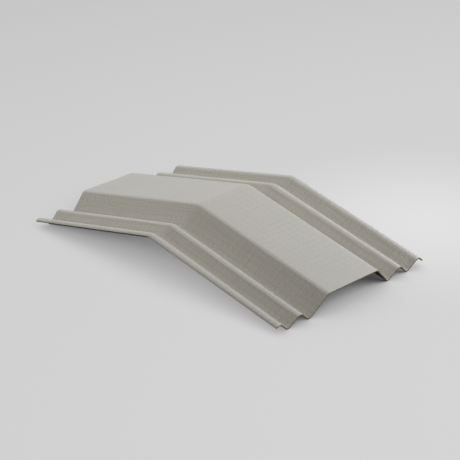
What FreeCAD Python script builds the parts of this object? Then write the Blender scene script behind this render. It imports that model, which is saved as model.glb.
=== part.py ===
import FreeCAD, Part
import os
from math import asin, atan2, cos, hypot, radians, sin

# Roof ridge cap: one moulded piece of fibre-cement sheet. A wide flat-topped crown runs over the ridge with
# two small ribs on each side of it, and the whole section is bent along the ridge line into two sloping wings.
# X runs down the wings, Y runs along the ridge, Z is up. All lengths are in millimetres.

# Sheet
THICKNESS = 4.0

# Section across a wing: widths lie along Y, heights are those of the sheet over its valley bottoms
CROWN_FLAT = 190.0             # flat top of the crown, between its rounded shoulders
CROWN_HEIGHT = 58.0
CROWN_BASE = 332.0             # between the valley bottoms at the crown's feet
RIB_PITCH = 84.0               # from valley to valley, and from rib to rib
RIB_HEIGHT = 28.5
UNDERLAP_RIB_WIDTH = 76.0      # the outer rib on the -Y side goes under the next cap, so it is smaller
UNDERLAP_RIB_HEIGHT = 25.5
UNDERLAP_LIP = 1.5             # straight run of sheet past the outer rib's rounded crest, on the -Y side
OVERLAP_LIP = 16.5             # the same on the +Y side, which goes over the next cap

# Inside radii of the bends in the section
SHOULDER_RADIUS = 17.0         # under the crown's shoulders
CREST_RADIUS = 14.0            # under the ribs
VALLEY_RADIUS = 6.0            # on top of the valleys

# Wings
WING_SLOPE = 12.4              # degrees below level
WING_LENGTH = 498.0            # straight run of each wing, from the ridge bend to its cut end
RIDGE_RADIUS = 17.5            # inside radius of the ridge bend, under the valleys

CREST = 1                      # the sheet passes over the bend's centre
VALLEY = -1                    # the sheet passes under the bend's centre
RIDGE_AXIS = FreeCAD.Vector(0, 1, 0)
ORIGIN = FreeCAD.Vector(0, 0, 0)


def bend(kind, y, height, inside_radius):
    """One bend of the section as (kind, centre y, centre height, radius at the middle of the sheet)."""
    radius = inside_radius + THICKNESS / 2
    return kind, y, height - kind * radius, radius


def section_bends():
    """The bends of the section in order along Y, from the underlap edge to the overlap edge."""
    foot = CROWN_BASE / 2
    shoulder = CROWN_FLAT / 2
    outer_valley = foot + RIB_PITCH
    return [
        bend(CREST, -outer_valley - UNDERLAP_RIB_WIDTH / 2, UNDERLAP_RIB_HEIGHT, CREST_RADIUS),
        bend(VALLEY, -outer_valley, 0, VALLEY_RADIUS),
        bend(CREST, -foot - RIB_PITCH / 2, RIB_HEIGHT, CREST_RADIUS),
        bend(VALLEY, -foot, 0, VALLEY_RADIUS),
        bend(CREST, -shoulder, CROWN_HEIGHT, SHOULDER_RADIUS),
        bend(CREST, shoulder, CROWN_HEIGHT, SHOULDER_RADIUS),
        bend(VALLEY, foot, 0, VALLEY_RADIUS),
        bend(CREST, foot + RIB_PITCH / 2, RIB_HEIGHT, CREST_RADIUS),
        bend(VALLEY, outer_valley, 0, VALLEY_RADIUS),
        bend(CREST, outer_valley + RIB_PITCH / 2, RIB_HEIGHT, CREST_RADIUS),
    ]


def flank_angle(first, second):
    """Angle above level of the straight sheet that is tangent to two neighbouring bends."""
    kind_1, y_1, height_1, radius_1 = first
    kind_2, y_2, height_2, radius_2 = second
    span = hypot(y_2 - y_1, height_2 - height_1)
    return atan2(height_2 - height_1, y_2 - y_1) - asin((kind_1 * radius_1 - kind_2 * radius_2) / span)


def point_on(one_bend, angle, offset):
    """Point of a bend where the sheet runs at an angle, at an offset above the middle of the sheet."""
    kind, y, height, radius = one_bend
    reach = kind * radius + offset
    level = RIDGE_RADIUS + THICKNESS / 2
    return FreeCAD.Vector(0, y - reach * sin(angle), level + height + reach * cos(angle))


def sheet_line(offset):
    """Edges of one face of the sheet, from the underlap edge to the overlap edge."""
    bends = section_bends()
    flanks = [flank_angle(first, second) for first, second in zip(bends, bends[1:])]
    angles = [-flanks[0]] + flanks + [-flanks[-1]]
    first_run = FreeCAD.Vector(0, cos(angles[0]), sin(angles[0])) * UNDERLAP_LIP
    last_run = FreeCAD.Vector(0, cos(angles[-1]), sin(angles[-1])) * OVERLAP_LIP
    start = point_on(bends[0], angles[0], offset) - first_run
    edges = []
    for one_bend, angle_in, angle_out in zip(bends, angles, angles[1:]):
        enter = point_on(one_bend, angle_in, offset)
        middle = point_on(one_bend, (angle_in + angle_out) / 2, offset)
        leave = point_on(one_bend, angle_out, offset)
        edges.append(Part.makeLine(start, enter))
        edges.append(Part.Arc(enter, middle, leave).toShape())
        start = leave
    edges.append(Part.makeLine(start, start + last_run))
    return edges


def section_face():
    """The sheet's section in the plane of the ridge line, standing above the ridge bend's axis."""
    top = sheet_line(THICKNESS / 2)
    underside = sheet_line(-THICKNESS / 2)
    underlap_edge = Part.makeLine(underside[0].Vertexes[0].Point, top[0].Vertexes[0].Point)
    overlap_edge = Part.makeLine(top[-1].Vertexes[-1].Point, underside[-1].Vertexes[-1].Point)
    return Part.Face(Part.Wire(Part.__sortEdges__(top + [overlap_edge] + underside + [underlap_edge])))


def wing(section, side):
    """The straight wing on one side of the ridge, cut off square to its slope."""
    slope = radians(WING_SLOPE)
    root = section.rotated(ORIGIN, RIDGE_AXIS, side * WING_SLOPE)
    return root.extrude(FreeCAD.Vector(side * cos(slope), 0, -sin(slope)) * WING_LENGTH)


def ridge_cap():
    """The bent ridge with a wing on each side, standing on the floor over the origin."""
    section = section_face()
    ridge = section.rotated(ORIGIN, RIDGE_AXIS, -WING_SLOPE).revolve(ORIGIN, RIDGE_AXIS, 2 * WING_SLOPE)
    cap = ridge.fuse([wing(section, -1), wing(section, 1)]).removeSplitter()
    box = cap.optimalBoundingBox(False, False)
    return cap.translated(FreeCAD.Vector(-box.Center.x, -box.Center.y, -box.ZMin))


os.makedirs("parts", exist_ok=True)
ridge_cap().exportStep("parts/ridge_cap.step")
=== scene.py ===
from math import asin, atan2, ceil, cos, hypot, pi, radians, sin

import bpy
import numpy as np
from mathutils import Matrix, Vector, noise


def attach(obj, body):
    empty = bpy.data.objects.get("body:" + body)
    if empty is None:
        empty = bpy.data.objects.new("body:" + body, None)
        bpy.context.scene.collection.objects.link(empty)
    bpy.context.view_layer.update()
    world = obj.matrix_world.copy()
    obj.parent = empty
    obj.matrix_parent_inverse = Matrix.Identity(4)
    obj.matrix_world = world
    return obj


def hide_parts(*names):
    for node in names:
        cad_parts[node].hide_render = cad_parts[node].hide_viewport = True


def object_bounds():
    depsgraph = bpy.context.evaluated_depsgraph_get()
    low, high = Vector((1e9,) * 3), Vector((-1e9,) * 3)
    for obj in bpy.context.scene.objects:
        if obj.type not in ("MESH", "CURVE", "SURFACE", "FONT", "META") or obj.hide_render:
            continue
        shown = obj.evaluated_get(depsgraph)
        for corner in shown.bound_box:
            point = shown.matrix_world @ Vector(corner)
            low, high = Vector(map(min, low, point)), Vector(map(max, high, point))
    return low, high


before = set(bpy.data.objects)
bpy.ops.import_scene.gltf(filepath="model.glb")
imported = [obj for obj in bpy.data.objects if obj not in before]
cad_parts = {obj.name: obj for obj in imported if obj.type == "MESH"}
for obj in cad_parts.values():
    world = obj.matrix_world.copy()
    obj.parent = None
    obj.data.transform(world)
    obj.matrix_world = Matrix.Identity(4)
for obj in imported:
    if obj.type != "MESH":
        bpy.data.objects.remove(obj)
cad_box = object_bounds()

# Roof ridge cap: one moulded sheet of fibre cement, with the imprint of the felt it was formed on.
# X runs down the wings, Y runs along the ridge, Z is up. All lengths are in metres.

# Sheet and section, as in the part's source: widths lie along Y, heights are over the valley bottoms
THICKNESS = 0.004
CROWN_FLAT = 0.190
CROWN_HEIGHT = 0.058
CROWN_BASE = 0.332
RIB_PITCH = 0.084
RIB_HEIGHT = 0.0285
UNDERLAP_RIB_WIDTH = 0.076
UNDERLAP_RIB_HEIGHT = 0.0255
UNDERLAP_LIP = 0.0015
OVERLAP_LIP = 0.0165
SHOULDER_RADIUS = 0.017
CREST_RADIUS = 0.014
VALLEY_RADIUS = 0.006

# Wings
WING_SLOPE = radians(12.4)
WING_LENGTH = 0.498
RIDGE_RADIUS = 0.0175

# Mesh: spacing of the points along the straight runs and round the bends
RUN_STEP = 0.005
ARC_STEP = 0.0022
RIDGE_STEPS = 12
RIM_DEPTHS = (0.1, 0.37, 0.63, 0.9)    # rows across a sawn edge, as shares of the thickness

# Layout of the surfaces side by side on one square map, as shares of it
FACE_SHARE = 0.62
BACK_SHARE = 0.32
LAYOUT_GAP = 0.006
STRIP_MARGIN = 0.1             # left free on each side of a sawn edge's strip, as a share of the strip

# Moulded unevenness; a seed picks a place in the noise
SAG_HEIGHT = 0.0003            # slow waves in the sheet
SAG_LENGTH = 0.16
SAG_SEED = 3.7
CUT_WANDER = 0.00025           # how far a sawn edge strays from its line
CUT_LENGTH = 0.02
LEFT_CUT_SEED = 11.3
RIGHT_CUT_SEED = 14.9
UNDERLAP_CUT_SEED = 17.1
OVERLAP_CUT_SEED = 21.6
ARRIS = 0.0004                 # rounding of a sawn edge's corners
SHARP_ANGLE = radians(35)

# Fibre cement: tones are shares of the colour's lightness, counts are to a metre
FACE_COLOUR = (0.423, 0.398, 0.345)
FACE_GLOSS = 0.5
FACE_DUST = 0.5                # dry cement dust, as sheen
DUST_ROUGHNESS = 0.5
# Painted shade: the back is made about half as light as the face, to stand in for the shade under the sheet
BACK_PAINTED_SHADE_COLOUR = (0.230, 0.214, 0.183)
ROUGHNESS = 0.6
LIGHTER_ROUGHNESS = -0.5       # change of roughness with tone
CLOUD_COUNT = 9.0
CLOUD_TONE = 0.03
GRAIN_COUNT = 900.0
GRAIN_TONE = 0.06
GRAIN_RELIEF = 0.4             # against the height of the felt's threads

# Sawn edge: browner core, in thin layers along the sheet with the saw's marks across them
SAWN_COLOUR = (0.430, 0.340, 0.215)
SAWN_GLOSS = 0.1
SAWN_ROUGHNESS = 0.85
LIGHTER_SAWN_ROUGHNESS = 0.3   # change of roughness with tone
SAWN_RELIEF = 0.0003
LAYER_COUNT_ALONG = 30.0
LAYER_COUNT_DEEP = 2200.0
LAYER_TONE = 0.6
MARK_COUNT_ALONG = 900.0
MARK_COUNT_DEEP = 120.0
MARK_TONE = 0.35

# Felt imprint: a plain weave whose pattern of uneven threads comes round again after one tile
FELT_TILE = 0.020685
FELT_THREADS = 8               # threads to a tile, each way
FELT_DEPTH = 0.00009           # of the weave pressed into the face
FELT_STRAY = 0.0008            # how far the threads wander
FELT_STRAY_LENGTH = 0.06
BACK_FELT = 0.6                # tone of the imprint on the back, against the face
BACK_FELT_DEPTH = FELT_DEPTH / 2
LEVEL_FELT = 0.62              # strength of the imprint where the sheet is level
STEEP_FELT_PAINTED_LIGHT = 0.38              # and what a slope adds, times its steepness: painted light, standing in for the grazing light that makes the weave show more on slopes
PATCH_COUNT = 11.0             # to a metre: patches of stronger and weaker imprint
PATCH_CHANGE = 0.8
SLUB_TURNS = 0.30              # how much a thread's tone changes along a tile
SLUB_LENGTH = 0.08             # of a thread's uneven stretches
SLUB_FREE = 0.6                # the part of a thread's tone that doesn't come round with the tile
SLUB_CONTRAST = 0.75           # between a thread and the next
SLUB_TONE = 0.36
SLUB_STEP = 3.71               # from one thread to the next in the noise, so that they are unlike
LENGTH_SEED = 81.3             # for the threads that run down the slope
CROSS_SEED = 0.5               # for the threads that run across it
CROSSING_TONE = 0.24

# Camera: the photograph's angle and framing
VIEW_AZIMUTH = radians(44.53)
VIEW_ELEVATION = radians(24.33)
VIEW_ROLL = radians(0.12)
VIEW_DISTANCE = 5.059
VIEW_TARGET = Vector((0.0231, -0.0031, 0.0611))
SENSOR = 36.0                  # millimetres
LENS = 135.55                  # millimetres

# Studio: a pale floor and a dim white room
FLOOR_SIZE = 40.0
FLOOR_ALBEDO = 0.12            # for the light that it throws back
FLOOR_GLOW = 0.67              # as the camera sees it, at its middle
FLOOR_MIDDLE = (2.03, 0.47, 0)
FLOOR_FADE = 0.0054            # how it darkens, times the distance from its middle squared
FLOOR_LEAST = 0.572            # far off
POOL_GLOW = 0.107              # light thrown on the floor behind the right wing
POOL_MIDDLE = (0.30, 0.56, 0)
POOL_RADIUS = 0.66
SHADE_REACH = 0.25             # how near a surface has to be to shade the floor
SHADE_LEAN = 3.0               # how the floor's light leans out, for each metre from the crown's middle line
SHADE_WIDE = 0.64              # how much the floor darkens as it is shut in
SHADE_DEEP = 2.5               # how fast it falls to black deep under the sheet
SHADE_BLACK = 0.055            # how open it still is where it is black
SHADE_BLEND = 0.1              # from the one shade to the other
SHADE_SAMPLES = 16
ROOM_LIGHT = 0.1
ROOM_GLOW = 0.60               # as the camera sees it

# Lamps: soft square panels, the ones behind a little cooler
REAR_TINT = (0.965, 1.0, 1.09)
SIDE_DISTANCE = 3.71           # of the panels to the left and right
LAMPS = {
    "overhead": {"place": (-0.5, -0.5, 2.0), "aim": (-0.5, -0.5, 0), "side": 1.0, "watts": 17.4},
    "rear": {"place": (0.5, 2.5, 2.0), "aim": (0.5, 2.5, 0), "side": 1.0, "watts": 104.0, "tint": REAR_TINT},
    "low": {"place": (0.5, 3.5, 0.4), "aim": (0, 0, 0.1), "side": 0.6, "watts": 16.0, "tint": REAR_TINT},
    "left": {"place": (-SIDE_DISTANCE, 0, 1.5), "aim": (0, 0, 0), "side": 2.2, "watts": 30.0},
    "right": {"place": (SIDE_DISTANCE, 0, 1.5), "aim": (0, 0, 0), "side": 2.2, "watts": 30.0},
}

CREST = 1                      # the sheet passes over the bend's centre
VALLEY = -1                    # the sheet passes under the bend's centre


def bend(kind, y, height, inside_radius):
    radius = inside_radius + THICKNESS / 2
    return kind, y, height - kind * radius, radius


def section_bends():
    """The bends of the sheet's middle line, from the underlap edge to the overlap edge."""
    foot = CROWN_BASE / 2
    shoulder = CROWN_FLAT / 2
    outer = foot + RIB_PITCH
    return [
        bend(CREST, -outer - UNDERLAP_RIB_WIDTH / 2, UNDERLAP_RIB_HEIGHT, CREST_RADIUS),
        bend(VALLEY, -outer, 0, VALLEY_RADIUS),
        bend(CREST, -foot - RIB_PITCH / 2, RIB_HEIGHT, CREST_RADIUS),
        bend(VALLEY, -foot, 0, VALLEY_RADIUS),
        bend(CREST, -shoulder, CROWN_HEIGHT, SHOULDER_RADIUS),
        bend(CREST, shoulder, CROWN_HEIGHT, SHOULDER_RADIUS),
        bend(VALLEY, foot, 0, VALLEY_RADIUS),
        bend(CREST, foot + RIB_PITCH / 2, RIB_HEIGHT, CREST_RADIUS),
        bend(VALLEY, outer, 0, VALLEY_RADIUS),
        bend(CREST, outer + RIB_PITCH / 2, RIB_HEIGHT, CREST_RADIUS),
    ]


def flank_angle(first, second):
    """The rise, in radians, of the straight run that touches two neighbouring bends."""
    kind_1, y_1, height_1, radius_1 = first
    kind_2, y_2, height_2, radius_2 = second
    span = hypot(y_2 - y_1, height_2 - height_1)
    return atan2(height_2 - height_1, y_2 - y_1) - asin((kind_1 * radius_1 - kind_2 * radius_2) / span)


def middle_point(one_bend, angle):
    """A point on a bend where the sheet rises at this angle: y, height over the ridge bend's axis, angle."""
    kind, y, height, radius = one_bend
    base = RIDGE_RADIUS + THICKNESS / 2
    return y - kind * radius * sin(angle), base + height + kind * radius * cos(angle), angle


def section_points():
    """The section's middle line as rows of y, height, rise angle and distance along the sheet."""
    bends = section_bends()
    flanks = [flank_angle(*pair) for pair in zip(bends, bends[1:])]
    angles = [-flanks[0]] + flanks + [-flanks[-1]]
    points = []

    def run_to(y, height, angle):
        """Adds the points of a straight run from the last point."""
        y_0, height_0, _ = points[-1]
        steps = ceil(hypot(y - y_0, height - height_0) / RUN_STEP)
        for k in range(1, steps + 1):
            share = k / steps
            points.append((y_0 + (y - y_0) * share, height_0 + (height - height_0) * share, angle))

    def lip_end(one_bend, angle, length):
        y, height, _ = middle_point(one_bend, angle)
        return y + length * cos(angle), height + length * sin(angle), angle

    points.append(lip_end(bends[0], angles[0], -UNDERLAP_LIP))
    for one_bend, enter, leave in zip(bends, angles, angles[1:]):
        *_, radius = one_bend
        run_to(*middle_point(one_bend, enter))
        steps = ceil(abs(leave - enter) * radius / ARC_STEP)
        for k in range(1, steps + 1):
            points.append(middle_point(one_bend, enter + (leave - enter) * k / steps))
    run_to(*lip_end(bends[-1], angles[-1], OVERLAP_LIP))

    rows = np.array(points)
    gaps = np.hypot(np.diff(rows[:, 0]), np.diff(rows[:, 1]))
    along = np.concatenate([[0], np.cumsum(gaps)])
    return np.column_stack([rows, along])


def wing_stations():
    """Places from one wing's end to the other's: turn about the ridge bend, run past it, distance."""
    crown_radius = RIDGE_RADIUS + THICKNESS / 2 + CROWN_HEIGHT
    run_steps = ceil(WING_LENGTH / RUN_STEP)
    runs = WING_LENGTH * np.arange(1, run_steps + 1) / run_steps
    turns = WING_SLOPE * np.linspace(-1, 1, RIDGE_STEPS + 1)
    turn = np.concatenate([np.full(run_steps, -WING_SLOPE), turns, np.full(run_steps, WING_SLOPE)])
    run = np.concatenate([-runs[::-1], np.zeros(len(turns)), runs])
    return np.column_stack([turn, run, turn * crown_radius + run])


def sheet_frames(section, stations):
    """The middle surface at each station and section point, its normal, and the ways down and across it."""
    y, height, angle, _ = (column[None, :] for column in section.T)
    turn, run, _ = (column[:, None] for column in stations.T)
    flat = np.zeros_like(turn * y)
    normal = np.stack([np.cos(angle) * np.sin(turn), flat - np.sin(angle), np.cos(angle) * np.cos(turn)], -1)
    down = np.stack([flat + np.cos(turn), flat, flat - np.sin(turn)], -1)
    across = np.stack([np.sin(angle) * np.sin(turn), flat + np.cos(angle), np.sin(angle) * np.cos(turn)], -1)
    middle = np.stack([height * np.sin(turn), flat + y, height * np.cos(turn)], -1) + down * run[..., None]
    return middle, normal, down, across


def noise_over(first, second, length, seed):
    """Smooth noise from -1 to 1 at each pair of two coordinates."""
    pairs = zip(first.ravel() / length, second.ravel() / length)
    return np.array([noise.noise(Vector((*pair, seed))) for pair in pairs]).reshape(first.shape)


def cut_wander(places, seed):
    """How far a sawn edge strays from its line, at each place along it."""
    return CUT_WANDER * noise_over(places, np.zeros_like(places), CUT_LENGTH, seed)


def border(grid):
    """The outer rows and columns of a grid as one closed loop."""
    return np.concatenate([grid[0, :-1], grid[:-1, -1], grid[-1, :0:-1], grid[:0:-1, 0]])


def sheet_surfaces(section, stations):
    """Grids of points on the face and the back, and the rows of the sawn rim between them."""
    middle, normal, down, across = sheet_frames(section, stations)
    half = normal * THICKNESS / 2
    middle += np.array(cad_box[0]) - np.minimum(middle - half, middle + half).min((0, 1))

    # Sawn edges stray a little, and their corners are worn round
    middle[0] -= down[0] * cut_wander(section[:, 3], LEFT_CUT_SEED)[:, None]
    middle[-1] += down[-1] * cut_wander(section[:, 3], RIGHT_CUT_SEED)[:, None]
    middle[:, 0] -= across[:, 0] * cut_wander(stations[:, 2], UNDERLAP_CUT_SEED)[:, None]
    middle[:, -1] += across[:, -1] * cut_wander(stations[:, 2], OVERLAP_CUT_SEED)[:, None]
    outward = np.zeros_like(middle)
    outward[0] -= down[0]
    outward[-1] += down[-1]
    outward[:, 0] -= across[:, 0]
    outward[:, -1] += across[:, -1]

    along_grid, across_grid = np.meshgrid(stations[:, 2], section[:, 3], indexing="ij")
    sag = SAG_HEIGHT * noise_over(along_grid, across_grid, SAG_LENGTH, SAG_SEED)[..., None]
    middle += normal * sag - outward * ARRIS
    face, back = middle + half, middle - half
    edge_face, edge_back = border(face), border(back)
    edge_out = border(outward) * ARRIS
    rim = [edge_face + (edge_back - edge_face) * depth + edge_out for depth in RIM_DEPTHS]
    return face, back, rim


def rim_places(face):
    """Distance round the rim at each of its points and at its closing, and where its sides start."""
    loop = border(face)
    steps = np.linalg.norm(np.roll(loop, -1, 0) - loop, axis=1)
    rows, columns = face.shape[:2]
    starts = np.cumsum([0, columns - 1, rows - 1, columns - 1])
    return np.concatenate([[0], np.cumsum(steps)]), starts


def add_maps(mesh, section, stations, quads, face):
    """Two maps: developed, in metres along the sheet, and a layout with a place for each surface."""
    along_grid, across_grid = np.meshgrid(stations[:, 2], section[:, 3], indexing="ij")
    sheet_uv = np.stack([along_grid, across_grid], -1).reshape(-1, 2)[quads]
    spare = 1 - FACE_SHARE - BACK_SHARE - 3 * LAYOUT_GAP
    low, high = sheet_uv.reshape(-1, 2).min(0), sheet_uv.reshape(-1, 2).max(0)
    unit_uv = (sheet_uv - low) / (high - low) * (1 - 2 * LAYOUT_GAP, 1) + (LAYOUT_GAP, 0)
    face_layout = unit_uv * (1, FACE_SHARE) + (0, LAYOUT_GAP)
    back_layout = unit_uv * (1, BACK_SHARE) + (0, FACE_SHARE + 2 * LAYOUT_GAP)

    # The rim's four sides are strips over the back's place, at a scale where half the rim fills the width
    distance, starts = rim_places(face)
    count = len(distance) - 1
    side = np.searchsorted(starts, np.arange(count), side="right") - 1
    depths = np.array([0, *RIM_DEPTHS, 1])
    ends = np.stack([distance[:-1], distance[1:], distance[1:], distance[:-1]], -1)
    half_rim = distance[-1] / 2
    places = (ends - distance[starts[side]][:, None]) / half_rim
    rim_uv, rim_layout = [], []
    for upper, lower in zip(depths, depths[1:]):
        depth = np.broadcast_to([upper, upper, lower, lower], ends.shape)
        rim_uv.append(np.stack([ends, depth * THICKNESS], -1))
        strip = (side[:, None] + STRIP_MARGIN + (1 - 2 * STRIP_MARGIN) * depth) * spare / len(starts)
        rim_layout.append(np.stack([LAYOUT_GAP + places * (1 - 2 * LAYOUT_GAP), 1 - spare + strip], -1))

    developed = np.concatenate([sheet_uv, sheet_uv[:, ::-1], *rim_uv])
    layout = np.concatenate([face_layout, back_layout[:, ::-1], *rim_layout])
    for name, corners in (("developed", developed), ("OFBake", layout)):
        mesh.uv_layers.new(name=name).data.foreach_set("uv", corners.ravel())


def make_sheet():
    """The whole cap: moulded face, back, and the sawn rim between them, with a material for each."""
    section = section_points()
    stations = wing_stations()
    face, back, rim = sheet_surfaces(section, stations)
    rows, columns = face.shape[:2]
    count = rows * columns
    index = np.arange(count).reshape(rows, columns)
    quads = np.stack([index[:-1, :-1], index[1:, :-1], index[1:, 1:], index[:-1, 1:]], -1).reshape(-1, 4)

    # The rim goes round in rows, from the face's border to the back's
    face_loop = border(index)
    loop = len(face_loop)
    rim_loops = [2 * count + k * loop + np.arange(loop) for k in range(len(rim))]
    loops = [face_loop, *rim_loops, face_loop + count]
    rim_quads = [
        np.stack([upper, np.roll(upper, -1), np.roll(lower, -1), lower], -1)
        for upper, lower in zip(loops, loops[1:])
    ]

    vertices = np.concatenate([face.reshape(-1, 3), back.reshape(-1, 3), *rim])
    faces = np.concatenate([quads, quads[:, ::-1] + count, *rim_quads])
    mesh = bpy.data.meshes.new("ridge_cap_sheet")
    mesh.from_pydata(vertices.tolist(), [], faces.tolist())
    add_maps(mesh, section, stations, quads, face)
    for material in (face_material(), back_material(), sawn_material()):
        mesh.materials.append(material)
    finishes = np.repeat([0, 1, 2], [len(quads), len(quads), loop * len(rim_quads)])
    mesh.polygons.foreach_set("material_index", finishes)
    mesh.shade_smooth()
    mesh.set_sharp_from_angle(angle=SHARP_ANGLE)
    return mesh


class Graph:
    """The nodes of one material or world."""

    def __init__(self, owner):
        owner.use_nodes = True
        self.tree = owner.node_tree
        self.tree.nodes.clear()

    def feed(self, socket, value):
        if isinstance(value, bpy.types.NodeSocket):
            self.tree.links.new(value, socket)
        else:
            socket.default_value = value

    def add(self, kind, inputs=None, **settings):
        node = self.tree.nodes.new("ShaderNode" + kind)
        for name, value in settings.items():
            setattr(node, name, value)
        for name, value in (inputs or {}).items():
            self.feed(node.inputs[name], value)
        return node

    def math(self, operation, *values, clamp=False):
        node = self.add("Math", operation=operation, use_clamp=clamp)
        for socket, value in zip(node.inputs, values):
            self.feed(socket, value)
        return node.outputs[0]

    def sum(self, *values):
        total = values[0]
        for value in values[1:]:
            total = self.math("ADD", total, value)
        return total

    def point(self, x, y, z=0.0):
        return self.add("CombineXYZ", {"X": x, "Y": y, "Z": z}).outputs[0]

    def noise(self, place, scale=1.0, detail=0.0, dimensions="3D"):
        """Smooth noise about 0."""
        inputs = {"Vector": place, "Scale": scale, "Detail": detail}
        node = self.add("TexNoise", inputs, noise_dimensions=dimensions)
        return self.math("SUBTRACT", node.outputs[0], 0.5)

    def white_noise(self, place):
        """A value of its own, from 0 to 1, for each place."""
        return self.add("TexWhiteNoise", {"Vector": place}, noise_dimensions="2D").outputs["Value"]

    def tinted(self, colour, tone):
        """A colour made lighter and darker by a grey tone about 0, as a share of the colour's lightness."""
        grey = sum(colour) / len(colour)
        inputs = {0: tone, 1: (grey, grey, grey), 2: colour}
        return self.add("VectorMath", inputs, operation="MULTIPLY_ADD").outputs[0]

    def end(self, shader, target="Material"):
        self.feed(self.add("Output" + target).inputs["Surface"], shader)


def developed_place(g):
    """Places along and across the developed sheet."""
    place = g.add("UVMap", uv_map="developed").outputs[0]
    parts = g.add("SeparateXYZ", {0: place})
    return parts.outputs[0], parts.outputs[1]


def thread_tone(g, number, along, seed):
    """The tone of each thread of one set, about 0, changing along it; a part comes round with every tile."""
    angle = g.math("MULTIPLY", along, 2 * pi / FELT_TILE)
    ring_x = g.math("MULTIPLY", g.math("COSINE", angle), SLUB_TURNS)
    ring_y = g.math("MULTIPLY", g.math("SINE", angle), SLUB_TURNS)
    one_of = g.math("FLOORED_MODULO", number, float(FELT_THREADS))
    again = g.noise(g.point(ring_x, ring_y, g.math("MULTIPLY_ADD", one_of, SLUB_STEP, seed)))
    stretch = g.math("MULTIPLY", along, 1 / SLUB_LENGTH)
    once = g.noise(g.point(stretch, g.math("MULTIPLY_ADD", number, SLUB_STEP, seed)), dimensions="2D")
    return g.math("MULTIPLY_ADD", once, SLUB_FREE, again)


def slub_tone(g, number, along, seed):
    """How one set of threads shows: a light thread makes the next one look darker."""
    before = thread_tone(g, g.math("SUBTRACT", number, 1.0), along, seed)
    return g.math("MULTIPLY_ADD", before, -SLUB_CONTRAST, thread_tone(g, number, along, seed))


def crossing_tone(g, first, second):
    """The tone of each crossing of two threads, about 0; a part of it comes round with every tile."""
    tile_first = g.math("FLOORED_MODULO", first, float(FELT_THREADS))
    tile_second = g.math("FLOORED_MODULO", second, float(FELT_THREADS))
    again = g.white_noise(g.point(tile_first, tile_second))
    once = g.white_noise(g.point(first, second))
    return g.math("SUBTRACT", g.math("MULTIPLY", g.math("ADD", again, once), 0.5), 0.5)


def thread_height(g, turn, crossing_turn, start):
    """How high one set of threads lies: round across, and over and under the other set along."""
    place = g.math("FRACT", turn)
    round_top = g.math("MULTIPLY", g.math("MULTIPLY", place, g.math("SUBTRACT", 1.0, place)), 4.0)
    step = g.math("ADD", g.math("ADD", g.math("FLOOR", turn), crossing_turn), start)
    wave = g.math("COSINE", g.math("MULTIPLY", step, pi))
    return g.math("MULTIPLY", round_top, g.math("MULTIPLY_ADD", wave, 0.5, 0.5))


def felt_imprint(g):
    """The felt's weave: height from 0 to 1, and tone about 0."""
    along, across = developed_place(g)
    stray_along = g.noise(g.point(along, across), 1 / FELT_STRAY_LENGTH, dimensions="2D")
    stray_across = g.noise(g.point(across, along), 1 / FELT_STRAY_LENGTH, dimensions="2D")
    along = g.math("MULTIPLY_ADD", stray_along, 2 * FELT_STRAY, along)
    across = g.math("MULTIPLY_ADD", stray_across, 2 * FELT_STRAY, across)
    cross_turn = g.math("MULTIPLY", along, FELT_THREADS / FELT_TILE)
    length_turn = g.math("MULTIPLY", across, FELT_THREADS / FELT_TILE)
    cross_number = g.math("FLOOR", cross_turn)
    length_number = g.math("FLOOR", length_turn)
    height = g.math(
        "MAXIMUM",
        thread_height(g, cross_turn, length_turn, -0.5),
        thread_height(g, length_turn, cross_turn, 0.5),
    )
    length_slubs = slub_tone(g, length_number, along, LENGTH_SEED)
    cross_slubs = slub_tone(g, cross_number, across, CROSS_SEED)
    slubs = g.math("ADD", length_slubs, cross_slubs)
    crossings = crossing_tone(g, cross_number, length_number)
    tone = g.math("ADD", g.math("MULTIPLY", slubs, SLUB_TONE), g.math("MULTIPLY", crossings, CROSSING_TONE))
    return height, tone


def felt_strength_and_painted_light(g, flat, weave):
    """How strongly the imprint shows: unevenly, and more on the flanks, which is painted light standing in
    for grazing light on the slopes.
    """
    patches = g.noise(flat, PATCH_COUNT, dimensions="2D")
    uneven = g.math("MULTIPLY_ADD", patches, PATCH_CHANGE * weave, weave)
    # Painted light: the weave's tone is made stronger on steep slopes, as grazing light would show it
    normal = g.add("NewGeometry").outputs["True Normal"]
    steepness = g.math("ABSOLUTE", g.add("SeparateXYZ", {0: normal}).outputs[1])
    return g.math("MULTIPLY", uneven, g.math("MULTIPLY_ADD", steepness, STEEP_FELT_PAINTED_LIGHT, LEVEL_FELT))


def cement_shader(g, colour, roughness, normal, gloss, dust=0.0):
    return g.add("BsdfPrincipled", {
        "Base Color": colour,
        "Roughness": roughness,
        "Normal": normal,
        "Specular IOR Level": gloss,
        "Sheen Weight": dust,
        "Sheen Roughness": DUST_ROUGHNESS,
    }).outputs[0]


def moulded_material(name, colour, weave, depth, gloss=0.0, dust=0.0):
    """Cement pressed on felt: uneven threads, cloudy patches and fine grain."""
    material = bpy.data.materials.new(name)
    g = Graph(material)
    height, felt_tone = felt_imprint(g)
    flat = g.point(*developed_place(g))
    cloud = g.noise(flat, CLOUD_COUNT, detail=2.0, dimensions="2D")
    grain = g.noise(flat, GRAIN_COUNT, detail=2.0, dimensions="2D")
    tone = g.sum(
        g.math("MULTIPLY", felt_tone, felt_strength_and_painted_light(g, flat, weave)),
        g.math("MULTIPLY", cloud, CLOUD_TONE),
        g.math("MULTIPLY", grain, GRAIN_TONE),
    )
    relief = g.math("MULTIPLY_ADD", grain, GRAIN_RELIEF, height)
    normal = g.add("Bump", {"Height": relief, "Strength": 1.0, "Distance": depth}).outputs[0]
    roughness = g.math("MULTIPLY_ADD", tone, LIGHTER_ROUGHNESS, ROUGHNESS)
    g.end(cement_shader(g, g.tinted(colour, tone), roughness, normal, gloss, dust))
    return material


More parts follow.
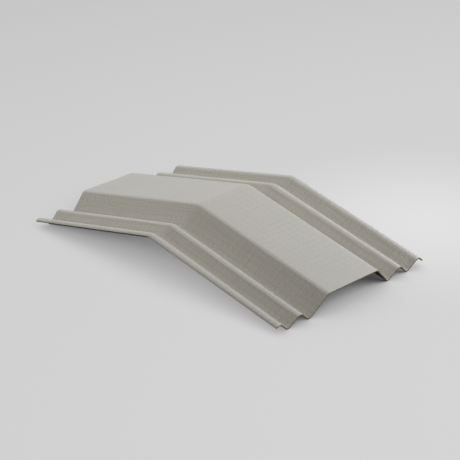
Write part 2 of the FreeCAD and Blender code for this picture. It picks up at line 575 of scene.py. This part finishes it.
def face_material():
    return moulded_material("fibre_cement_face", FACE_COLOUR, 1.0, FELT_DEPTH, FACE_GLOSS, FACE_DUST)


# The back's colour is painted shade, darker than the face to stand in for the shade beneath the sheet
def back_material():
    return moulded_material("fibre_cement_back_painted_shade", BACK_PAINTED_SHADE_COLOUR, BACK_FELT, BACK_FELT_DEPTH)


def sawn_material():
    """The sawn edge: layers and saw marks are noise drawn out along the sheet and across it."""
    material = bpy.data.materials.new("fibre_cement_sawn_edge")
    g = Graph(material)
    round_rim, depth = developed_place(g)

    def streaks(count_along, count_deep, detail):
        place = g.point(g.math("MULTIPLY", round_rim, count_along), g.math("MULTIPLY", depth, count_deep))
        return g.noise(place, detail=detail, dimensions="2D")

    layers = streaks(LAYER_COUNT_ALONG, LAYER_COUNT_DEEP, detail=2.0)
    marks = streaks(MARK_COUNT_ALONG, MARK_COUNT_DEEP, detail=1.0)
    tone = g.sum(g.math("MULTIPLY", layers, LAYER_TONE), g.math("MULTIPLY", marks, MARK_TONE))
    relief = g.sum(layers, marks)
    normal = g.add("Bump", {"Height": relief, "Strength": 1.0, "Distance": SAWN_RELIEF}).outputs[0]
    roughness = g.math("MULTIPLY_ADD", tone, LIGHTER_SAWN_ROUGHNESS, SAWN_ROUGHNESS)
    g.end(cement_shader(g, g.tinted(SAWN_COLOUR, tone), roughness, normal, SAWN_GLOSS))
    return material


def shown_straight(g):
    """1 where a ray shows the backdrop itself, straight or in a gloss, and 0 where it only carries light."""
    path = g.add("LightPath")
    straight = g.math("ADD", path.outputs["Is Camera Ray"], path.outputs["Is Glossy Ray"])
    return g.math("ADD", straight, path.outputs["Is Transmission Ray"], clamp=True)


def floor_shade(g, place):
    """How open the floor lies, from 0 to 1, to light that leans out from the crown's middle line."""
    side = g.math("MULTIPLY", g.add("SeparateXYZ", {0: place}).outputs[1], SHADE_LEAN)
    lean = g.add("VectorMath", {0: g.point(0.0, side, 1.0)}, operation="NORMALIZE").outputs[0]
    inputs = {"Distance": SHADE_REACH, "Normal": lean}
    open_share = g.add("AmbientOcclusion", inputs, samples=SHADE_SAMPLES).outputs["AO"]

    # A leaning half of space lies partly below the floor, and only the part above it counts
    upright = g.add("SeparateXYZ", {0: lean}).outputs[2]
    below = g.math("MULTIPLY_ADD", upright, -0.5, 0.5)
    open_above = g.math("SUBTRACT", open_share, below)
    above = g.math("DIVIDE", open_above, g.math("SUBTRACT", 1.0, below), clamp=True)
    wide = g.math("MULTIPLY_ADD", above, SHADE_WIDE, 1 - SHADE_WIDE)
    deep = g.math("MULTIPLY_ADD", above, SHADE_DEEP, -SHADE_DEEP * SHADE_BLACK)
    return g.math("MAXIMUM", g.math("SMOOTH_MIN", deep, wide, SHADE_BLEND), 0.0)


def floor_material():
    """A pale floor, darker far off, with a pool of light, and shaded where the object stands over it."""
    material = bpy.data.materials.new("studio_floor")
    g = Graph(material)
    place = g.add("NewGeometry").outputs["Position"]
    far = g.add("VectorMath", {0: place, 1: FLOOR_MIDDLE}, operation="DISTANCE").outputs["Value"]
    pool_way = g.add("VectorMath", {0: place, 1: POOL_MIDDLE}, operation="DISTANCE").outputs["Value"]
    pool = g.add("MapRange", {
        "Value": pool_way, "From Max": POOL_RADIUS, "To Min": POOL_GLOW, "To Max": 0.0,
    }, interpolation_type="SMOOTHSTEP").outputs[0]
    faded = g.math("MULTIPLY_ADD", g.math("MULTIPLY", far, far), -FLOOR_FADE, FLOOR_GLOW)
    even = g.math("MAXIMUM", faded, FLOOR_LEAST)
    strength = g.math("MULTIPLY", g.sum(even, pool), floor_shade(g, place))
    shown = g.add("Emission", {"Strength": strength}).outputs[0]
    carried = g.add("BsdfDiffuse", {"Color": (FLOOR_ALBEDO, FLOOR_ALBEDO, FLOOR_ALBEDO, 1)}).outputs[0]
    g.end(g.add("MixShader", {0: shown_straight(g), 1: carried, 2: shown}).outputs[0])
    return material


def make_floor():
    mesh = bpy.data.meshes.new("floor")
    side = FLOOR_SIZE / 2
    corners = [(-side, -side, 0), (side, -side, 0), (side, side, 0), (-side, side, 0)]
    mesh.from_pydata(corners, [], [(0, 1, 2, 3)])
    mesh.materials.append(floor_material())
    floor = bpy.data.objects.new("floor", mesh)
    bpy.context.scene.collection.objects.link(floor)
    return floor


def add_panel(name, place, aim, side, watts, tint=(1, 1, 1)):
    """A soft square lamp."""
    lamp = bpy.data.lights.new(name, "AREA")
    lamp.shape = "SQUARE"
    lamp.size = side
    lamp.energy = watts
    lamp.color = tint
    panel = bpy.data.objects.new(name, lamp)
    panel.location = place
    panel.rotation_euler = (Vector(place) - Vector(aim)).to_track_quat("Z", "Y").to_euler()
    panel.visible_camera = False
    bpy.context.scene.collection.objects.link(panel)


def add_world():
    world = bpy.data.worlds.new("studio")
    bpy.context.scene.world = world
    g = Graph(world)
    strength = g.math("MULTIPLY_ADD", shown_straight(g), ROOM_GLOW - ROOM_LIGHT, ROOM_LIGHT)
    g.end(g.add("Background", {"Color": (1, 1, 1, 1), "Strength": strength}).outputs[0], "World")


def add_camera():
    camera = bpy.data.objects.new("camera", bpy.data.cameras.new("camera"))
    bpy.context.scene.collection.objects.link(camera)
    level = cos(VIEW_ELEVATION)
    back_way = Vector((sin(VIEW_AZIMUTH) * level, -cos(VIEW_AZIMUTH) * level, sin(VIEW_ELEVATION)))
    turn = back_way.to_track_quat("Z", "Y").to_matrix() @ Matrix.Rotation(VIEW_ROLL, 3, "Z")
    camera.location = VIEW_TARGET + back_way * VIEW_DISTANCE
    camera.rotation_euler = turn.to_euler()
    camera.data.sensor_width = SENSOR
    camera.data.lens = LENS
    bpy.context.scene.camera = camera


sheet = bpy.data.objects.new("ridge_cap_sheet", make_sheet())
bpy.context.scene.collection.objects.link(sheet)
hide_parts("ridge_cap")
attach(sheet, "root")
make_floor()

for lamp_name, lamp in LAMPS.items():
    add_panel(lamp_name, **lamp)
add_world()
add_camera()
bpy.context.scene.view_settings.view_transform = "Standard"
